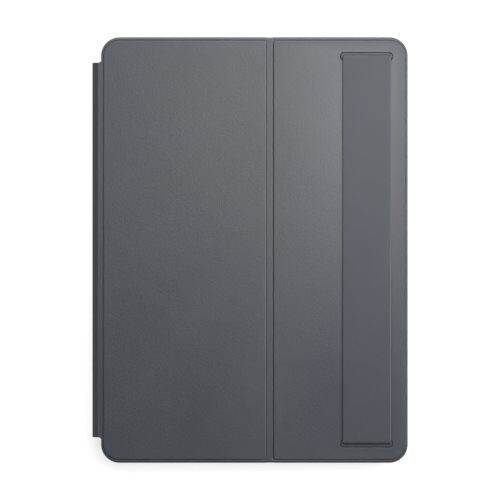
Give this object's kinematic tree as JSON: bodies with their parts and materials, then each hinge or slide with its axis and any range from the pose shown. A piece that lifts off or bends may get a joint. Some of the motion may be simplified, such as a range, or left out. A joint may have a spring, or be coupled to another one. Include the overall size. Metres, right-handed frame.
{
  "type": "tablet folio case",
  "caption": "Folio case for a tablet: moulded tray, creased spine, and a folding soft-touch cover of two stiff panels with an elastic strap across the outer one.",
  "frame": {"origin": "middle of the back face, midway between the outermost left and right edges and between the top and bottom ones", "axes": "+X towards the cover's free edge, +Y towards the top of the closed case in portrait, +Z out of the front cover"},
  "size_m": [0.1882, 0.254, 0.0145],
  "materials": {
    "soft_touch_skin": "smooth soft-touch synthetic leather",
    "strap_skin": "matt synthetic leather on an elastic core",
    "moulded_shell": "satin moulded elastomer",
    "microfibre": "short-napped microfibre",
    "stiffener_board": "plain fibre board",
    "magnet": "nickel plated",
    "trim": "satin"
  },
  "bodies": {
    "tray": {"tray_back_skin": "soft_touch_skin", "tray_shell": "moulded_shell", "tray_lining": "microfibre", "camera_ring": "trim", "tray_magnet_1": "magnet", "tray_magnet_2": "magnet", "tray_magnet_3": "magnet"},
    "spine": {"spine_outer_skin": "soft_touch_skin", "spine_board": "stiffener_board", "spine_lining": "microfibre"},
    "main_panel": {"main_outer_skin": "soft_touch_skin", "main_board": "stiffener_board", "main_lining": "microfibre"},
    "fold_strip": {"fold_strip_skin": "soft_touch_skin", "fold_strip_lining": "microfibre"},
    "free_panel": {"free_outer_skin": "soft_touch_skin", "free_board": "stiffener_board", "free_lining": "microfibre", "strap_anchor_top": "trim", "strap_anchor_bottom": "trim", "closure_magnet_1": "magnet", "closure_magnet_2": "magnet", "closure_magnet_3": "magnet", "wake_magnet": "magnet"},
    "strap": {"strap_band": "strap_skin"},
    "power_button": {"power_button_cap": "moulded_shell"},
    "volume_button": {"volume_button_cap": "moulded_shell"}
  },
  "joints": [
    {"name": "rear_hinge", "type": "hinge", "parent": "tray", "child": "spine", "pos_m": [-0.09096, 0, 0], "axis": [0, -1, 0], "range_deg": [0, 175]},
    {"name": "front_hinge", "type": "hinge", "parent": "spine", "child": "main_panel", "pos_m": [-0.09096, 0, 0.0127], "axis": [0, -1, 0], "range_deg": [0, 175]},
    {"name": "fold_main_side", "type": "hinge", "parent": "main_panel", "child": "fold_strip", "pos_m": [0.0096, 0, 0.0127], "axis": [0, -1, 0], "range_deg": [0, 88]},
    {"name": "fold_free_side", "type": "hinge", "parent": "fold_strip", "child": "free_panel", "pos_m": [0.01407, 0, 0.0127], "axis": [0, -1, 0], "range_deg": [0, 88]},
    {"name": "strap_lift", "type": "slide", "parent": "free_panel", "child": "strap", "axis": [0, 0, -1], "range_m": [-0.01, 0], "stiffness_N_per_m": 120, "deforming": ["strap_band"]},
    {"name": "power_press", "type": "slide", "parent": "tray", "child": "power_button", "axis": [0, -1, 0], "range_m": [0, 0.0004], "stiffness_N_per_m": 1500},
    {"name": "volume_press", "type": "slide", "parent": "tray", "child": "volume_button", "axis": [-1, 0, 0], "range_m": [0, 0.0004], "stiffness_N_per_m": 1500}
  ]
}
